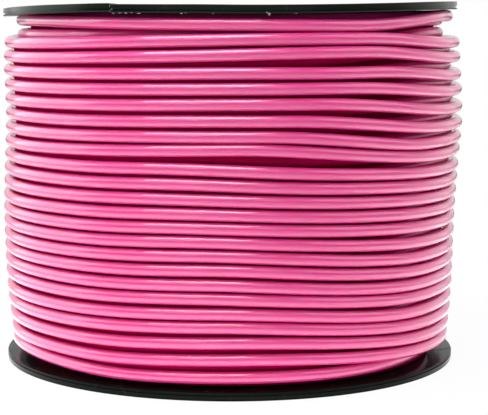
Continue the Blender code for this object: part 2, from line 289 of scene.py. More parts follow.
def lineStreaks(tree, length=None):
    places = tree.nodes.new("ShaderNodeTexCoord")
    mapping = tree.nodes.new("ShaderNodeMapping")
    if length:  # along the line's own path
        tree.links.new(places.outputs["UV"], mapping.inputs["Vector"])
        along = lineFinish["alongPerMetre"] * length
        mapping.inputs["Scale"].default_value = (along, lineFinish["acrossPerTurn"], 1.0)
    else:
        tree.links.new(places.outputs["Object"], mapping.inputs["Vector"])
        mapping.inputs["Scale"].default_value = lineFinish["plainScale"]
    return groupNode(tree, drawnStreaks, mapping.outputs["Vector"], Fineness=1.0)


def finishLine(tree, shader, streaks):
    rough = mapRange(tree, streaks.outputs["Streak"], 0.0, 1.0, *lineFinish["roughness"])
    tree.links.new(rough, shader.inputs["Roughness"])
    shader.inputs["IOR"].default_value = lineFinish["ior"]
    shader.inputs["Subsurface Weight"].default_value = lineFinish["soak"]
    shader.inputs["Subsurface Radius"].default_value = lineFinish["soakReach"]
    shader.inputs["Subsurface Scale"].default_value = lineFinish["soakScale"]
    shader.inputs["Coat Roughness"].default_value = lineFinish["coatRoughness"]
    shader.inputs["Coat IOR"].default_value = lineFinish["coatIor"]
    bump(tree, shader, streaks.outputs["Streak"], lineFinish["streakBump"], lineFinish["streakDepth"])


def streakShade(tree, streaks, deep, pale):
    fine = mathNode(tree, "MULTIPLY", streaks.outputs["Streak"], lineFinish["streakShare"])
    slow = mathNode(tree, "MULTIPLY", streaks.outputs["Cloud"], lineFinish["cloudShare"])
    return mixColours(tree, mathNode(tree, "ADD", fine, slow), deep, pale)


def makeLineMaterial(name, length=None):
    material, tree, shader = newMaterial(name)
    streaks = lineStreaks(tree, length)
    shade = streakShade(tree, streaks, lineFinish["pink"], lineFinish["paler"])
    tree.links.new(shade, shader.inputs["Base Color"])
    shader.inputs["Coat Weight"].default_value = lineFinish["coat"]
    finishLine(tree, shader, streaks)
    return material


def makeShadedLineMaterial(name, length, litFrom):
    # painted shade: deep in the winding the line gets a darker copy of its pink, with no gloss, for the
    # shade it lies in, and only its last turn, and the turns at the right where light reaches between the
    # outer ones, are as bright and glossy as the outer ones
    material, tree, shader = newMaterial(name)
    streaks = lineStreaks(tree, length)
    places = tree.nodes.new("ShaderNodeTexCoord")
    along = tree.nodes.new("ShaderNodeSeparateXYZ")
    tree.links.new(places.outputs["UV"], along.inputs["Vector"])
    across = tree.nodes.new("ShaderNodeSeparateXYZ")
    tree.links.new(places.outputs["Object"], across.inputs["Vector"])
    aside = mapRange(tree, across.outputs["X"], *lineFinish["litAside"])
    blend = lineFinish["litBlend"]
    lit = mapRange(tree, along.outputs["X"], litFrom - blend, litFrom + blend)
    lit = mathNode(tree, "MAXIMUM", lit, aside)
    dark = streakShade(tree, streaks, lineFinish["shaded"], lineFinish["shadedPaler"])
    bright = streakShade(tree, streaks, lineFinish["pink"], lineFinish["paler"])
    tree.links.new(mixColours(tree, lit, dark, bright), shader.inputs["Base Color"])
    tree.links.new(lit, shader.inputs["Coat Weight"])
    shader.inputs["Specular IOR Level"].default_value = 0.0
    finishLine(tree, shader, streaks)
    return material


# the dark below topFrom is painted shade on line that is the same pink as the outer turns
def makeCoreMaterial(name, topFrom):  # dark in the depths, and the line's own pink above topFrom
    material, tree, shader = newMaterial(name)
    streaks = lineStreaks(tree)
    shade = streakShade(tree, streaks, lineFinish["coreShade"], lineFinish["coreShadePaler"])
    top = streakShade(tree, streaks, lineFinish["pink"], lineFinish["paler"])
    places = tree.nodes.new("ShaderNodeTexCoord")
    split = tree.nodes.new("ShaderNodeSeparateXYZ")
    tree.links.new(places.outputs["Object"], split.inputs["Vector"])
    share = mapRange(tree, split.outputs["Z"], *topFrom)
    tree.links.new(mixColours(tree, share, shade, top), shader.inputs["Base Color"])
    shader.inputs["Specular IOR Level"].default_value = 0.0
    shader.inputs["Roughness"].default_value = lineFinish["coreRoughness"]
    return material


plastics = {
    "blackPlastic": {
        "colour": (0.0062, 0.0088, 0.0073), "scuffed": (0.030, 0.036, 0.033), "rough": 0.16,
        "grain": 1.0, "bump": 0.10, "shine": 0.18,
    },
    "shadedLowerPlastic": {  # painted shade: a blacker, less shiny copy of the black plastic, to darken the lower rim where the floor's light brightens it
        "colour": (0.0036, 0.0050, 0.0043), "scuffed": (0.030, 0.036, 0.033), "rough": 0.16,
        "grain": 1.0, "bump": 0.10, "shine": 0.07,
    },
    "barrelPlastic": {
        "colour": (0.014, 0.015, 0.0145), "scuffed": (0.030, 0.036, 0.033), "rough": 0.36,
        "grain": 0.8, "bump": 0.25, "shine": 0.18,
    },
    "tornPlastic": {
        "colour": (0.22, 0.24, 0.22), "scuffed": (0.42, 0.45, 0.42), "rough": 0.45,
        "grain": 2.0, "bump": 0.3, "shine": 0.18,
    },
}
plasticFinish = {
    "specularTint": (0.78, 1.0, 0.80),
    "scuffShare": 0.35,
    "flowRoughness": 0.10,
    "scuffRoughness": 0.18,
    "grainDepth": 0.00003,  # metres
}


def makePlasticMaterial(name):
    material, tree, shader = newMaterial(name)
    own = plastics[name]
    places = tree.nodes.new("ShaderNodeTexCoord")
    skin = groupNode(tree, mouldedSkin, places.outputs["Object"], Grain_Scale=own["grain"])
    scuff = mathNode(tree, "MULTIPLY", skin.outputs["Scuff"], plasticFinish["scuffShare"])
    tree.links.new(mixColours(tree, scuff, own["colour"], own["scuffed"]), shader.inputs["Base Color"])
    roughest = own["rough"] + plasticFinish["flowRoughness"]
    base = mapRange(tree, skin.outputs["Flow"], 0.0, 1.0, own["rough"], roughest)
    worn = mathNode(tree, "MULTIPLY", skin.outputs["Scuff"], plasticFinish["scuffRoughness"])
    tree.links.new(mathNode(tree, "ADD", base, worn), shader.inputs["Roughness"])
    shader.inputs["Specular IOR Level"].default_value = own["shine"]
    shader.inputs["Specular Tint"].default_value = (*plasticFinish["specularTint"], 1.0)
    bump(tree, shader, skin.outputs["Grain"], own["bump"], plasticFinish["grainDepth"])
    return material


def newPiece(name, mesh, material):
    piece = bpy.data.objects.new(name, mesh)
    scene.collection.objects.link(piece)
    mesh.materials.clear()
    mesh.materials.append(material)
    return piece


weld = 0.000001  # metres within which doubled vertices are merged


def spinProfile(points, steps):  # a closed (radius, height) outline in mm, turned round Z
    shape = bmesh.new()
    verts = [shape.verts.new((radius * mm, 0.0, height * mm)) for radius, height in points]
    for i, vert in enumerate(verts):
        shape.edges.new((vert, verts[(i + 1) % len(verts)]))
    bmesh.ops.spin(
        shape, geom=shape.verts[:] + shape.edges[:], cent=(0, 0, 0), axis=(0, 0, 1), dvec=(0, 0, 0),
        angle=math.tau, steps=steps, use_merge=True, use_duplicate=False,
    )
    bmesh.ops.remove_doubles(shape, verts=shape.verts[:], dist=weld)
    bmesh.ops.recalc_face_normals(shape, faces=shape.faces[:])
    return shape


def toMesh(shape, name, sharpAngle=None):
    mesh = bpy.data.meshes.new(name)
    shape.to_mesh(mesh)
    shape.free()
    mesh.shade_smooth()
    if sharpAngle:
        mesh.set_sharp_from_angle(angle=math.radians(sharpAngle))
    return mesh


def sweptLine(name, points, diameter, sides):
    # round line along a path, as one closed mesh with its UV map
    curve = bpy.data.curves.new(name, "CURVE")
    curve.dimensions = "3D"
    curve.twist_mode = "Z_UP"
    curve.bevel_depth = diameter / 2
    curve.bevel_resolution = sides // 2 - 2
    curve.use_fill_caps = True
    spline = curve.splines.new("POLY")
    spline.points.add(len(points) - 1)
    for place, point in zip(spline.points, points):
        place.co = (*point, 1.0)
    holder = bpy.data.objects.new(name + "Path", curve)
    scene.collection.objects.link(holder)
    ready = holder.evaluated_get(bpy.context.evaluated_depsgraph_get())
    mesh = bpy.data.meshes.new_from_object(ready)
    bpy.data.objects.remove(holder)
    shape = bmesh.new()
    shape.from_mesh(mesh)
    bmesh.ops.remove_doubles(shape, verts=shape.verts[:], dist=weld)
    bmesh.ops.recalc_face_normals(shape, faces=shape.faces[:])
    shape.to_mesh(mesh)
    shape.free()
    mesh.shade_smooth()
    return mesh


def pathLength(points):
    return sum((b - a).length for a, b in zip(points, points[1:]))


outerTurns = {
    "diameter": 2.56,
    "passes": 24,
    "pointsPerTurn": 168,
    "sides": 16,
    "startAngle": -262.0,  # where it carries on from the layer beneath, behind
    "endAngle": 84.0,
    # middle height of each pass across the front, counted from the top, at the left end
    "leftHeight": {
        0: 75.8, 1: 71.0, 2: 68.0, 3: 64.95, 4: 61.8, 6: 55.5, 8: 49.3, 10: 43.2, 12: 37.15, 14: 31.45,
        16: 25.8, 18: 20.05, 19: 16.8, 20: 13.95, 21: 10.75, 22: 7.45, 23: 4.85,
    },
    # how much a pass has risen by the middle, how far it falls to the right end, and where it does so
    "rise": {
        0: -0.7, 1: 1.5, 2: 1.8, 3: 0.75, 4: 0.85, 5: 0.9, 6: 0.75, 7: 0.8, 8: 1.3, 9: 0.75, 10: 0.8,
        13: 0.85, 16: 0.7, 17: 0.5, 19: 0.85, 21: 0.85, 22: 0.65, 23: -0.5,
    },
    "fall": {
        0: -1.9, 1: 1.25, 2: 1.75, 3: 1.5, 4: 1.75, 5: 2.4, 7: 2.8, 8: 2.95, 9: 2.85, 11: 2.55, 13: 2.5,
        14: 2.85, 15: 3.05, 18: 2.85, 20: 3.1, 21: 2.85, 22: 2.3, 23: -0.05,
    },
    "fallAngle": {
        0: 51, 1: 51, 2: 51, 3: 54, 4: 48, 5: 43, 7: 30, 8: 29, 9: 21, 11: 22, 13: 25, 15: 25, 19: 26,
        22: 36, 23: 35,
    },
    "fallSpan": {0: 42, 1: 38, 3: 42, 5: 48, 8: 56, 9: 96, 13: 92, 15: 68, 23: 64},
    "riseEnd": {0: 28, 1: 26, 2: 38, 3: 8, 23: 5},
    # dip of a pass left of the middle
    "sag": {0: 0.0, 7: 0.05, 9: 0.2, 14: 0.18, 19: 0.2, 20: 0.18, 21: 0.25, 22: 0.4, 23: 0.45},
    "sagAngle": -30.0,
    "sagReach": 17.0,
    # outer radius of the winding at a height
    "radius": {3.5: 49.6, 8: 50.1, 14: 50.6, 24: 51.0, 40: 51.25, 60: 51.45, 70: 51.15, 74: 50.6},
    # the top pass is drawn in under the flange at both sides
    "firstRadius": {-95: 48.4, -58: 48.6, -32: 50.1, 0: 50.6, 30: 50.6, 55: 50.0, 80: 49.3},
    # how far the winding lies towards +X at a height
    "lean": {
        0: 0.1, 10: 0.05, 20: -0.12, 34: -0.1, 42: 0.25, 48: 0.6, 54: 0.95, 60: 0.8, 66: 0.5, 76: 0.45,
    },
    # behind, the first pass comes up and out from the layer beneath
    "entryAngle": -100.0,
    "entrySpan": 150.0,
    "entryDraw": 1.1,
    # past the right end it comes out to the radius of the others
    "firstEndAngle": 70.0,
    "firstEndSpan": 55.0,
    # the last pass goes down into the layers beneath
    "exitAngle": 12.0,
    "exitSpan": 92.0,
    "exitDraw": 4.6,
    # the turns stand out where they cross the ones beneath
    "crossingAngle": 32.0,
    "crossingReach": 30.0,
    "crossingBulge": 0.25,
    # small slow waves in each pass
    "wander": 0.055,
    "radiusWander": 0.7,  # as a share of the wander in height
    "wanderSeeds": (7, 19),
    "wanderPace": (3, 9),
    "wanderWaves": 3,
    "wanderBlend": 60.0,
}
leftEnd, rightEnd = -75.0, 90.0  # what the front view shows of a pass
backSweep = leftEnd + 360.0 - rightEnd


def passHeight(index, angle):
    index = min(max(index, 0), outerTurns["passes"] - 1)
    left = readCurve(outerTurns["leftHeight"], index)
    right = left + readCurve(outerTurns["rise"], index) - readCurve(outerTurns["fall"], index)
    if angle < leftEnd:
        before = left if index == 0 else passHeight(index - 1, rightEnd)
        return before + (left - before) * ease((angle + 360.0 - rightEnd) / backSweep)
    if angle > rightEnd:
        isLast = index == outerTurns["passes"] - 1
        after = right if isLast else readCurve(outerTurns["leftHeight"], index + 1)
        return right + (after - right) * ease((angle - rightEnd) / backSweep)
    riseEnd = readCurve(outerTurns["riseEnd"], index)
    risen = ease((angle - leftEnd) / (riseEnd - leftEnd)) * readCurve(outerTurns["rise"], index)
    span = readCurve(outerTurns["fallSpan"], index)
    through = (angle - readCurve(outerTurns["fallAngle"], index)) / span + 0.5
    fallen = ease(through) * readCurve(outerTurns["fall"], index)
    sag = readCurve(outerTurns["sag"], index) * hump(angle, outerTurns["sagAngle"], outerTurns["sagReach"])
    return left + risen - fallen - sag


def makeWander(seed, passes):  # small slow waves, unlike on every pass
    rng = random.Random(seed)
    slow, quick = outerTurns["wanderPace"]
    count = outerTurns["wanderWaves"]
    waves = [
        [(rng.uniform(slow, quick), rng.uniform(0, math.tau)) for _ in range(count)]
        for _ in range(passes + 2)
    ]

    def wander(index, angle):
        share = ease((angle + 180.0) / outerTurns["wanderBlend"])

        def sway(which):
            turn = math.radians(angle)
            return sum(math.sin(turn * round(pace) + phase) for pace, phase in waves[which]) / count

        own = sway(index % len(waves))
        return own * share + sway((index - 1) % len(waves)) * (1 - share)

    return wander


heightWander, radiusWander = (makeWander(seed, outerTurns["passes"]) for seed in outerTurns["wanderSeeds"])


def outerRadius(height):
    return readCurve(outerTurns["radius"], height) - outerTurns["diameter"] / 2


def leanAt(height):
    return Vector((readCurve(outerTurns["lean"], height), 0.0, 0.0))


def crossingAt(angle):
    return hump(angle, outerTurns["crossingAngle"], outerTurns["crossingReach"])


def outerPoint(turned):  # turned runs on from pass to pass, and is 0 in front of the first
    index = math.floor((turned + 180.0) / 360.0)
    angle = turned - 360.0 * index
    startHeight = readCurve(outerTurns["leftHeight"], 0)
    beneath = ease((outerTurns["entryAngle"] - turned) / outerTurns["entrySpan"])
    height = passHeight(index, angle) if index >= 0 else startHeight
    height += (underTurns["topHeight"] - startHeight) * beneath
    height += outerTurns["wander"] * heightWander(index, angle)
    radius = outerRadius(height) + outerTurns["crossingBulge"] * crossingAt(angle)
    if index <= 0:
        first = readCurve(outerTurns["firstRadius"], turned) - outerTurns["diameter"] / 2
        first -= outerTurns["entryDraw"] * beneath
        joined = ease((turned - outerTurns["firstEndAngle"]) / outerTurns["firstEndSpan"])
        radius = first + (radius - first) * joined
    radius += outerTurns["radiusWander"] * outerTurns["wander"] * radiusWander(index, angle)
    if index == outerTurns["passes"] - 1:
        radius -= outerTurns["exitDraw"] * ease((angle - outerTurns["exitAngle"]) / outerTurns["exitSpan"])
    return (outward(turned) * radius + leanAt(height) + Vector((0, 0, height))) * mm


def outerRoute():
    last = outerTurns["endAngle"] + 360.0 * (outerTurns["passes"] - 1)
    sweep = last - outerTurns["startAngle"]
    count = round(sweep / 360.0 * outerTurns["pointsPerTurn"])
    return [outerPoint(outerTurns["startAngle"] + sweep * i / count) for i in range(count + 1)]


underTurns = {
    "pointsPerTurn": 110,
    "sides": 12,
    "below": 2.12,  # how far its middle lies inside the outer turns' middle
    "crossingDip": 0.3,
    "climbAngle": 38.0,
    "climbSpan": 56.0,
    "topHeight": 76.05,
    "topDraw": (0.5, 1.2),  # how far its top pass is drawn in, at the left and at the right
    "topDrawAngle": -40.0,
    "topDrawSpan": 70.0,
    "topDrawHeight": 69.5,  # from where up, and over what height, it is drawn in
    "topDrawRise": 3.0,
    "seenHeight": 72.75,  # its top pass shows between the outer layer's first two, at the left
    "seenRise": 0.5,
    "seenRiseAngle": -60.0,
    "seenRiseSpan": 50.0,
    "passes": 24,
    "startAngle": -150.0,
    "endAngle": 98.0,
    "litSweep": 330.0,  # how much of its top turn is as bright as the outer turns
}


def groove(index, angle):  # the height midway between two of the outer passes
    if index < 0:
        return underTurns["topHeight"]
    if index == 0:
        risen = ease((angle - underTurns["seenRiseAngle"]) / underTurns["seenRiseSpan"])
        return underTurns["seenHeight"] + underTurns["seenRise"] * risen
    return (passHeight(index, angle) + passHeight(index + 1, angle)) / 2


def drawnIn(height):
    return ease((height - underTurns["topDrawHeight"]) / underTurns["topDrawRise"])


def underPoint(turned):  # this layer was wound from the bottom up
    done = math.floor((turned + 180.0) / 360.0)
    index = underTurns["passes"] - 2 - done
    angle = turned - 360.0 * done
    if angle < leftEnd:
        right, left = groove(index, rightEnd), groove(index, leftEnd)
        height = right + (left - right) * ease((angle + 360.0 - rightEnd) / backSweep)
    elif angle > rightEnd:
        right, left = groove(index - 1, rightEnd), groove(index - 1, leftEnd)
        height = right + (left - right) * ease((angle - rightEnd) / backSweep)
    else:
        climbed = ease((angle - underTurns["climbAngle"]) / underTurns["climbSpan"] + 0.5)
        here, above = groove(index, angle), groove(index - 1, angle)
        height = here + (above - here) * climbed
    height += outerTurns["wander"] * heightWander(index + 1, angle)
    leftDraw, rightDraw = underTurns["topDraw"]
    across = ease((angle - underTurns["topDrawAngle"]) / underTurns["topDrawSpan"])
    draw = leftDraw + (rightDraw - leftDraw) * across
    radius = outerRadius(height) - underTurns["below"] - draw * drawnIn(height)
    radius -= underTurns["crossingDip"] * crossingAt(angle)
    return (outward(turned) * radius + leanAt(height) + Vector((0, 0, height))) * mm


def underSweep():
    return underTurns["endAngle"] + 360.0 * (underTurns["passes"] - 2) - underTurns["startAngle"]


def underRoute():
    sweep = underSweep()
    count = round(sweep / 360.0 * underTurns["pointsPerTurn"])
    return [underPoint(underTurns["startAngle"] + sweep * i / count) for i in range(count + 1)]


def makeWinding():
    route = outerRoute()
    length = pathLength(route)
    surface = makeLineMaterial("pinkLine", length)
    mesh = sweptLine("outer_turns", route, outerTurns["diameter"] * mm, outerTurns["sides"])
    outer = newPiece("outer_turns", mesh, surface)
    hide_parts("line_outer_layer")
    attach(outer, "root")
    print(f"outer layer wound, {length:.2f} m")

    route = underRoute()
    length = pathLength(route)
    lastTurn = 1.0 - underTurns["litSweep"] / underSweep()
    shaded = makeShadedLineMaterial("pinkLineUnderneathPaintedShade", length, lastTurn)
    mesh = sweptLine("under_turns", route, outerTurns["diameter"] * mm, underTurns["sides"])
    under = newPiece("under_turns", mesh, shaded)
    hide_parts("line_inner_layers")
    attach(under, "root")
    print(f"layer beneath wound, {length:.2f} m")


makeWinding()


flange = {
    "steps": 288,
    "rimHeight": 1.65,
    "lipHeight": 0.26,  # the thin lip at the inner edge of the rim
    "grooveDepth": 0.32,
    "grooveHeight": 0.38,
    "grooveSlope": 0.03,
    "belowGroove": 0.02,  # how far the bead's outer half stands inside the lip
    "corner": 0.2,
    "beadWidth": 2.4,
    "beadFoot": 0.15,
    "webRecess": 0.35,
    "dishDepth": 4.5,
    "dishFloor": 1.5,
    "dishRadius": 21.3,
    "spigotRadius": 22.9,
    "spigotTop": 11.65,
    "spigotCorner": 0.3,
    "hubRadius": 11.7,
    "hubCorner": 0.3,
    "socketRadius": 10.1,
    "boreRadius": 8.0,
    "arborLip": 1.6,
    "socketDepth": 8.0,
    "fillet": 0.5,
    "sharpAngle": 32.0,
    "ribs": 8,
    "ribWidth": 1.2,
    "ribOverlap": 0.8,  # into the hub and the dish wall
    "ribHeights": (0.3, 0.75),  # below the web's face, and into the dish's floor
    "ribCorner": 0.2,
    "lugWidth": 6.0,
    "lugReach": (0.8, 1.6),  # inside and outside the spigot's wall
    "lugHeights": (4.0, 1.6),  # below the spigot's top
    "lugCorner": 0.25,
    "slitWidth": (0.3, 0.12),  # lower, upper
    "slitLength": 5.0,
    "slitHeights": (-1.0, 3.0),
    "slitLean": 50.0,
    "lowerSlit": 84.0,
    "upperSlit": -28.2,
    # how far the upper rim is bent up at each share of its radius towards +X, and beside its slit
    "bend": {
        -1.0: -1.05, -0.9: -0.65, -0.8: -0.36, -0.7: -0.16, -0.6: -0.06, -0.5: 0.0, -0.3: -0.09,
        -0.13: -0.08, 0.07: -0.14, 0.26: -0.07, 0.46: 0.1, 0.67: 0.38, 0.79: 0.58, 0.9: 0.74, 1.0: 0.85,
    },
    "slitStep": (0.12, 0.07),
    "slitStepReach": (14.0, 9.0),
    "upperThicker": 0.1,
    "thickerFrom": 0.9,  # as a share of the rim's height and of its radius
}


def arc(centre, radius, start, end, steps=4):
    places = []
    for i in range(steps + 1):
        turn = math.radians(start + (end - start) * i / steps)
        places.append((centre[0] + radius * math.cos(turn), centre[1] + radius * math.sin(turn)))
    return places


def flangeOutline(outerR):
    f = flange
    top, corner, fillet, hubCorner = f["rimHeight"], f["corner"], f["fillet"], f["hubCorner"]
    lipLow = top - f["lipHeight"]
    grooveLow = lipLow - f["grooveHeight"]
    grooveR, lowerR = outerR - f["grooveDepth"], outerR - f["belowGroove"]
    beadIn = outerR - f["beadWidth"]
    webFace = f["webRecess"]
    floorTop = f["dishDepth"] + f["dishFloor"]
    points = [(f["spigotRadius"], top)]
    points += arc((outerR - corner, top - corner), corner, 90, 0)
    points += [(outerR, lipLow), (grooveR, lipLow - f["grooveSlope"])]
    points += [(grooveR, grooveLow + f["grooveSlope"]), (lowerR, grooveLow)]
    points += arc((lowerR - corner, corner), corner, 0, -90)
    points += arc((beadIn + corner, corner), corner, -90, -150, 3)
    points += [(beadIn - f["beadFoot"], webFace)]
    points += arc((f["dishRadius"] + fillet, webFace + fillet), fillet, -90, -180)
    points += arc((f["dishRadius"] - fillet, f["dishDepth"] - fillet), fillet, 0, 90)
    points += arc((f["hubRadius"] + fillet, f["dishDepth"] - fillet), fillet, 90, 180)
    points += arc((f["hubRadius"] - hubCorner, hubCorner), hubCorner, 0, -90, 3)
    points += arc((f["boreRadius"] + hubCorner, hubCorner), hubCorner, -90, -180, 3)
    points += [(f["boreRadius"], f["arborLip"]), (f["socketRadius"], f["arborLip"])]
    points += [(f["socketRadius"], f["arborLip"] + f["socketDepth"])]
    points += [(f["hubRadius"], f["arborLip"] + f["socketDepth"]), (f["hubRadius"], floorTop)]
    points += [(f["dishRadius"], floorTop), (f["dishRadius"], f["spigotTop"])]
    points += [(f["spigotRadius"] - f["spigotCorner"], f["spigotTop"])]
    points += [(f["spigotRadius"], f["spigotTop"] - f["spigotCorner"])]
    return points


def ringOfBlocks(name, angles, reach, heights, width, lean=0.0, corner=0.0):
    (inner, outer), (low, high) = reach, heights
    middle = Vector(((inner + outer) / 2, 0.0, (low + high) / 2))
    leaning = Matrix.Rotation(math.radians(lean), 3, "Z")
    shape = bmesh.new()
    for angle in angles:
        block = bmesh.ops.create_cube(shape, size=1.0)["verts"]
        bmesh.ops.scale(shape, vec=Vector((outer - inner, width, high - low)) * mm, verts=block)
        if corner:
            # dict.fromkeys drops doubles and keeps the order that they were found in
            edges = list(dict.fromkeys(edge for vert in block for edge in vert.link_edges))
            made = bmesh.ops.bevel(
                shape, geom=edges, offset=corner * mm, segments=2, profile=0.5, affect="EDGES", material=-1,
            )
            rounded = [vert for face in made["faces"] for vert in face.verts]
            block = list(dict.fromkeys(rounded + [vert for vert in block if vert.is_valid]))
        bmesh.ops.rotate(shape, cent=(0, 0, 0), matrix=leaning, verts=block)
        bmesh.ops.translate(shape, vec=middle * mm, verts=block)
        turn = Matrix.Rotation(math.radians(angle - 90.0), 3, "Z")
        bmesh.ops.rotate(shape, cent=(0, 0, 0), matrix=turn, verts=block)
    bmesh.ops.recalc_face_normals(shape, faces=shape.faces[:])
    tool = bpy.data.objects.new(name, toMesh(shape, name))
    scene.collection.objects.link(tool)
    return tool


def applyTools(piece, steps):
    for tool, operation in steps:
        boolean = piece.modifiers.new(tool.name, "BOOLEAN")
        boolean.operation = operation
        boolean.solver = "EXACT"
        boolean.object = tool
    ready = piece.evaluated_get(bpy.context.evaluated_depsgraph_get())
    mesh = bpy.data.meshes.new_from_object(ready)
    piece.modifiers.clear()
    piece.data = mesh
    for tool, _ in steps:
        bpy.data.objects.remove(tool)
    mesh.shade_smooth()
    mesh.set_sharp_from_angle(angle=math.radians(flange["sharpAngle"]))


def rimWarp(place, outerR):  # how far the upper flange is bent up at a place, all in metres
    radius = place.xy.length
    bent = readCurve(flange["bend"], place.x / outerR)
    fromSlit = math.degrees(math.atan2(place.x, -place.y)) - flange["upperSlit"]
    if 0 <= -fromSlit < flange["slitStepReach"][0]:
        bent += flange["slitStep"][0] * (1 + fromSlit / flange["slitStepReach"][0])
    elif 0 < fromSlit < flange["slitStepReach"][1]:
        bent -= flange["slitStep"][1] * (1 - fromSlit / flange["slitStepReach"][1])
    return bent * min(radius / outerR, 1.0) ** 3 * mm


def makeFlange(name, node, material, slitAngle, upper):
    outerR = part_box(node)[1].x / mm
    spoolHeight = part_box("upper_flange")[1].z
    mesh = toMesh(spinProfile(flangeOutline(outerR), flange["steps"]), name)
    piece = newPiece(name, mesh, material)
    evenly = [360.0 * i / flange["ribs"] for i in range(flange["ribs"])]
    between = [angle + 180.0 / flange["ribs"] for angle in evenly]
    ribReach = (flange["hubRadius"] - flange["ribOverlap"], flange["dishRadius"] + flange["ribOverlap"])
    belowFace, intoFloor = flange["ribHeights"]
    ribHeights = (flange["webRecess"] + belowFace, flange["dishDepth"] + intoFloor)
    ribs = ringOfBlocks(
        name + "Ribs", between, ribReach, ribHeights, flange["ribWidth"], corner=flange["ribCorner"],
    )
    inside, outside = flange["lugReach"]
    lugReach = (flange["spigotRadius"] - inside, flange["spigotRadius"] + outside)
    lugHeights = [flange["spigotTop"] - below for below in flange["lugHeights"]]
    lugs = ringOfBlocks(
        name + "Lugs", evenly[::2], lugReach, lugHeights, flange["lugWidth"], corner=flange["lugCorner"],
    )
    turned = -slitAngle if upper else slitAngle
    slitReach = (outerR - flange["slitLength"], outerR + flange["slitLength"])
    slits = ringOfBlocks(
        name + "Slits", [turned, turned + 180.0], slitReach, flange["slitHeights"],
        flange["slitWidth"][upper], lean=flange["slitLean"],
    )
    applyTools(piece, [(ribs, "UNION"), (lugs, "UNION"), (slits, "DIFFERENCE")])
    if upper:
        turnOver = Matrix.Translation((0, 0, spoolHeight)) @ Matrix.Rotation(math.pi, 4, "Y")
        piece.data.transform(turnOver)
        reach = outerR * mm
        innerEdge = spoolHeight - flange["thickerFrom"] * flange["rimHeight"] * mm
        for vert in piece.data.vertices:
            if vert.co.z < innerEdge and vert.co.xy.length > reach * flange["thickerFrom"]:
                vert.co.z -= flange["upperThicker"] * mm
            vert.co.z += rimWarp(vert.co, reach)
    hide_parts(node)
    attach(piece, "root")


core = {
    "topTurn": (45.0, 76.25),  # radius and height of the turn that shows above the outer layer's first
    "topTurnSize": 2.5,
    "topTurnInside": 1.0,
    "topTurnFrom": (0.0748, 0.0752),  # metres
    "underFlange": 0.03,
    "roundBarrel": 0.3,
    "sunk": 0.9,  # how far its face lies inside the under turns' middle
    "stations": 24,
    "steps": 120,
    "leanFrom": 1.2,  # as a share of the inner radius
    "bendFrom": 74.6,
    "bendOver": 2.0,
    "sharpAngle": 40.0,
}


def makeInnerCore():
    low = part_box("line_inner_layers")[0].z / mm
    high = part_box("upper_flange")[1].z / mm - flange["rimHeight"] - core["underFlange"]
    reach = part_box("upper_flange")[1].x
    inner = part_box("winding_barrel")[1].x / mm + core["roundBarrel"]
    topMiddle = Vector(core["topTurn"])
    span = topMiddle.y - core["topTurnSize"] / 2 - low
    outline = []
    for i in range(core["stations"] + 1):
        height = low + span * i / core["stations"]
        radius = outerRadius(height) - underTurns["below"] - underTurns["topDraw"][1] * drawnIn(height)
        outline.append((radius - core["sunk"], height))
    outline += arc(topMiddle, core["topTurnSize"] / 2, -50, 90, 8)
    outline += [(topMiddle.x - core["topTurnInside"], high), (inner, high), (inner, low)]
    shape = spinProfile(outline, core["steps"])
    for vert in shape.verts:
        if vert.co.xy.length > inner * mm * core["leanFrom"]:
            vert.co += leanAt(vert.co.z / mm) * mm
        bent = ease((vert.co.z / mm - core["bendFrom"]) / core["bendOver"])
        vert.co.z += rimWarp(vert.co, reach) * bent
    material = makeCoreMaterial("pinkLineDeepPaintedShade", core["topTurnFrom"])
    piece = newPiece("inner_core", toMesh(shape, "inner_core", core["sharpAngle"]), material)
    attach(piece, "root")
    print("inner core turned")


arbor = {"corner": 0.3, "steps": 96, "sharpAngle": 35.0}


def makeArbor(material):
    low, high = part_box("arbor_tube")
    outerR, low, high = high.x / mm, low.z / mm, high.z / mm
    inner, corner = flange["boreRadius"], arbor["corner"]
    outline = arc((outerR - corner, high - corner), corner, 0, 90, 3) + [(inner, high), (inner, low)]
    outline += arc((outerR - corner, low + corner), corner, -90, 0, 3)
    mesh = toMesh(spinProfile(outline, arbor["steps"]), "arbor_sleeve", arbor["sharpAngle"])
    piece = newPiece("arbor_sleeve", mesh, material)
    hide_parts("arbor_tube")
    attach(piece, "root")


blackPlastic = makePlasticMaterial("blackPlastic")
shadedLowerPlastic = makePlasticMaterial("shadedLowerPlastic")
barrelPlastic = makePlasticMaterial("barrelPlastic")
makeFlange("lower_rim", "lower_flange", shadedLowerPlastic, flange["lowerSlit"], False)
makeFlange("upper_rim", "upper_flange", blackPlastic, flange["upperSlit"], True)
makeInnerCore()
makeArbor(barrelPlastic)
print("flanges and arbor ready")

flash = {
    # ragged bits left along the upper rim's lower edge: angle, length, height, drop below the edge
    "bits": [
        (-27.2, 0.5, 0.22, 0.10), (-25.6, 0.9, 0.14, 0.02), (-24.0, 0.6, 0.20, 0.04),
        (-22.6, 0.5, 0.16, 0.0), (-20.8, 0.8, 0.18, 0.05), (-10.9, 0.5, 0.22, 0.05),
        (-9.9, 0.3, 0.16, 0.0), (-3.8, 0.35, 0.24, 0.04), (14.7, 0.45, 0.16, 0.0), (49.0, 0.4, 0.2, 0.0),
    ],
    # the same, up the face of the rim: angle, length, height, rise above the edge
    "marks": [
        (-28.1, 0.12, 0.5, 0.45), (-27.6, 0.12, 0.45, 0.75), (-28.2, 0.14, 0.4, 1.15),
        (8.1, 0.4, 0.3, 0.22),
    ],
    "gate": (8.6, 0.6, 0.55, 0.12),  # the sprue's stub
    "thickness": 0.16,
    "markThickness": 0.7,  # these two as a share of the thickness
    "gateThickness": 2.2,
    "blobRadius": 0.5,
    "ragged": 0.22,
    "sunk": 0.02,
    "seed": 5,
}


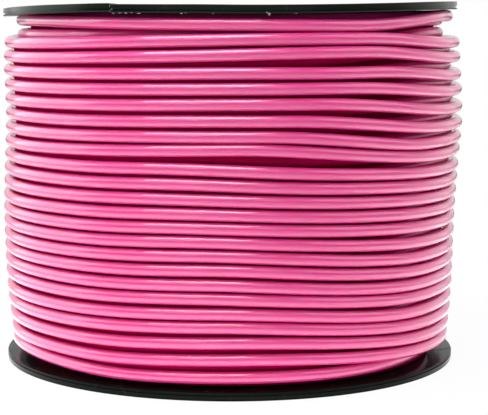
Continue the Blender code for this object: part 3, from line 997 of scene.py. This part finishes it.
def makeFlash():
    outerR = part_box("upper_flange")[1].x / mm
    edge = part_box("upper_flange")[1].z / mm - flange["rimHeight"]
    rng = random.Random(flash["seed"])
    shape = bmesh.new()
    places = [(angle, length, tall, -drop, 1.0) for angle, length, tall, drop in flash["bits"]]
    places += [(*mark, flash["markThickness"]) for mark in flash["marks"]]
    angle, length, tall, drop = flash["gate"]
    places.append((angle, length, tall, -drop, flash["gateThickness"]))
    for angle, length, tall, rise, thick in places:
        blob = bmesh.ops.create_icosphere(shape, subdivisions=2, radius=flash["blobRadius"] * mm)["verts"]
        for vert in blob:
            vert.co *= 1.0 + rng.uniform(-flash["ragged"], flash["ragged"])
        bmesh.ops.scale(shape, vec=(flash["thickness"] * thick, length, tall), verts=blob)
        place = outward(angle) * (outerR - flash["sunk"])
        warp = rimWarp(place * mm, outerR * mm) / mm - flange["upperThicker"]
        turn = Matrix.Rotation(math.radians(angle - 90.0), 3, "Z")
        bmesh.ops.rotate(shape, cent=(0, 0, 0), matrix=turn, verts=blob)
        bmesh.ops.translate(shape, vec=(place + Vector((0, 0, edge + rise + warp))) * mm, verts=blob)
    bmesh.ops.recalc_face_normals(shape, faces=shape.faces[:])
    torn = makePlasticMaterial("tornPlastic")
    piece = newPiece("rim_flash", toMesh(shape, "rim_flash"), torn)
    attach(piece, "root")


makeFlash()

# the barrel and the line's first end keep their solids, and get their looks here
tailMaterial = makeLineMaterial("pinkLineTail")
for node, material in (("winding_barrel", barrelPlastic), ("line_start_tail", tailMaterial)):
    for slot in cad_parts[node].material_slots:
        slot.material = material
print("flash and bare solids ready")


stage = {
    "floorSize": 6.0,  # metres
    "floorBelow": 0.05,
    "floorColour": (0.88, 0.88, 0.88),
    "cameraWhite": 0.95,  # how much of the floor is plain white to the camera, close to the spool
    "whiteReach": (0.07, 0.17),  # metres: and from where to where it turns all white
    # strengths of the room: in front, at the sides, and what is added straight behind,
    # where only the winding's edges reflect it
    "frontDim": 0.12,
    "worldBright": 0.52,
    "behindBright": 0.3,
    "overheadShare": 0.25,
    # along which part of each direction they change
    "frontToSide": (-0.9, 0.25),
    "sideToOverhead": (0.15, 0.75),
    "sideToBehind": (0.35, 0.85),
}


def makeFloor():
    shape = bmesh.new()
    bmesh.ops.create_grid(shape, x_segments=1, y_segments=1, size=stage["floorSize"] / 2)
    bmesh.ops.translate(shape, vec=(0, 0, -stage["floorBelow"] * mm), verts=shape.verts[:])
    floor = bpy.data.objects.new("floor", toMesh(shape, "floor"))
    scene.collection.objects.link(floor)
    material = bpy.data.materials.new("whiteSweep")
    material.use_nodes = True
    tree = material.node_tree
    tree.nodes.clear()
    out = tree.nodes.new("ShaderNodeOutputMaterial")
    paper = addNode(tree, "ShaderNodeBsdfDiffuse", Color=(*stage["floorColour"], 1.0))
    white = addNode(tree, "ShaderNodeEmission", Strength=1.0)
    rays = tree.nodes.new("ShaderNodeLightPath")
    seen = mathNode(tree, "MAXIMUM", rays.outputs["Is Camera Ray"], rays.outputs["Is Transmission Ray"])
    places = tree.nodes.new("ShaderNodeTexCoord")
    away = addNode(tree, "ShaderNodeVectorMath", operation="LENGTH")
    tree.links.new(places.outputs["Object"], away.inputs[0])
    plain = mapRange(tree, away.outputs["Value"], *stage["whiteReach"], stage["cameraWhite"], 1.0)
    share = mathNode(tree, "MULTIPLY", seen, plain)
    mix = tree.nodes.new("ShaderNodeMixShader")
    tree.links.new(share, mix.inputs["Fac"])
    tree.links.new(paper.outputs["BSDF"], mix.inputs[1])
    tree.links.new(white.outputs["Emission"], mix.inputs[2])
    # from underneath the floor isn't there, so that the spool's underside can be seen
    side = tree.nodes.new("ShaderNodeNewGeometry")
    clear = tree.nodes.new("ShaderNodeBsdfTransparent")
    eitherSide = tree.nodes.new("ShaderNodeMixShader")
    tree.links.new(side.outputs["Backfacing"], eitherSide.inputs["Fac"])
    tree.links.new(mix.outputs["Shader"], eitherSide.inputs[1])
    tree.links.new(clear.outputs["BSDF"], eitherSide.inputs[2])
    tree.links.new(eitherSide.outputs["Shader"], out.inputs["Surface"])
    floor.data.materials.append(material)


def makeWorld():
    world = bpy.data.worlds.new("studio")
    scene.world = world
    world.use_nodes = True
    tree = world.node_tree
    tree.nodes.clear()
    out = tree.nodes.new("ShaderNodeOutputWorld")
    room = addNode(tree, "ShaderNodeBackground", Color=(1, 1, 1, 1))
    backdrop = addNode(tree, "ShaderNodeBackground", Color=(1, 1, 1, 1), Strength=1.0)
    places = tree.nodes.new("ShaderNodeTexCoord")
    split = tree.nodes.new("ShaderNodeSeparateXYZ")
    tree.links.new(places.outputs["Generated"], split.inputs["Vector"])
    # the room is dim on the camera's side, where the studio is dark, and white at the sides and behind
    strengths = (stage["frontDim"], stage["worldBright"])
    depth = mapRange(tree, split.outputs["Y"], *stage["frontToSide"], *strengths)
    overhead = mapRange(tree, split.outputs["Z"], *stage["sideToOverhead"], 1.0, stage["overheadShare"])
    behind = mapRange(tree, split.outputs["Y"], *stage["sideToBehind"], 0.0, stage["behindBright"])
    sideways = mathNode(tree, "MULTIPLY", depth, overhead)
    tree.links.new(mathNode(tree, "ADD", sideways, behind), room.inputs["Strength"])
    rays = tree.nodes.new("ShaderNodeLightPath")
    seen = mathNode(tree, "MAXIMUM", rays.outputs["Is Camera Ray"], rays.outputs["Is Transmission Ray"])
    mix = tree.nodes.new("ShaderNodeMixShader")
    tree.links.new(seen, mix.inputs["Fac"])
    tree.links.new(room.outputs["Background"], mix.inputs[1])
    tree.links.new(backdrop.outputs["Background"], mix.inputs[2])
    tree.links.new(mix.outputs["Shader"], out.inputs["Surface"])


# brightness is what a white card would reflect: 1 is white
lamps = {
    "overheadBox": {"place": (-58, -118, 342), "aim": (-15, -20, 60), "size": (240, 150), "brightness": 7.3},
    "windowGlow": {"place": (-290, -203, 317), "aim": (0, -20, 45), "size": (640, 220), "brightness": 1.2},
    "frontGlow": {"place": (10, -490, 420), "aim": (0, 0, 50), "size": (480, 220), "brightness": 1.0},
    "rightFrontGlow": {"place": (212, -271, 345), "aim": (0, 0, 55), "size": (300, 330), "brightness": 0.4},
    "rightTopGlow": {"place": (350, -62, 327), "aim": (10, 0, 50), "size": (360, 300), "brightness": 1.2},
    "frontStrip": {"place": (0, -1250, 150), "aim": (0, 0, 60), "size": (2200, 320), "brightness": 0.4},
    "leftBox": {"place": (-420, 120, 200), "aim": (0, 0, 50), "size": (560, 360), "brightness": 1.65},
    "rightBox": {
        "place": (430, 210, 130), "aim": (0, 0, 50), "size": (420, 260), "brightness": 0.5,
        "tint": (1, 0.97, 0.92),
    },
    "backBox": {"place": (0, 420, 400), "aim": (0, 0, 50), "size": (700, 260), "brightness": 2.0},
    "sweepGlow": {
        "place": (-36.5, -12, 0.3), "aim": (-36.5, -12, 500), "size": (176, 176), "brightness": 0.7,
        "shape": "DISK",
    },
    "rightGlow": {"place": (112, 0, 0.3), "aim": (112, 0, 500), "size": (110, 150), "brightness": 0.85},
}


def makeLamp(name, spec):
    data = bpy.data.lights.new(name, "AREA")
    data.shape = spec.get("shape", "RECTANGLE")
    data.size, data.size_y = (side * mm for side in spec["size"])
    data.energy = spec["brightness"] * math.pi * data.size * data.size_y
    data.color = spec.get("tint", (1, 1, 1))
    lamp = bpy.data.objects.new(name, data)
    scene.collection.objects.link(lamp)
    lamp.location = Vector(spec["place"]) * mm
    heading = (Vector(spec["aim"]) - Vector(spec["place"])).normalized()
    lamp.rotation_euler = heading.to_track_quat("-Z", "Y").to_euler()
    lamp.visible_camera = False


makeFloor()
makeWorld()
for lampName, lampSpec in lamps.items():
    makeLamp(lampName, lampSpec)
scene.view_settings.view_transform = "Standard"
print("stage and light ready")
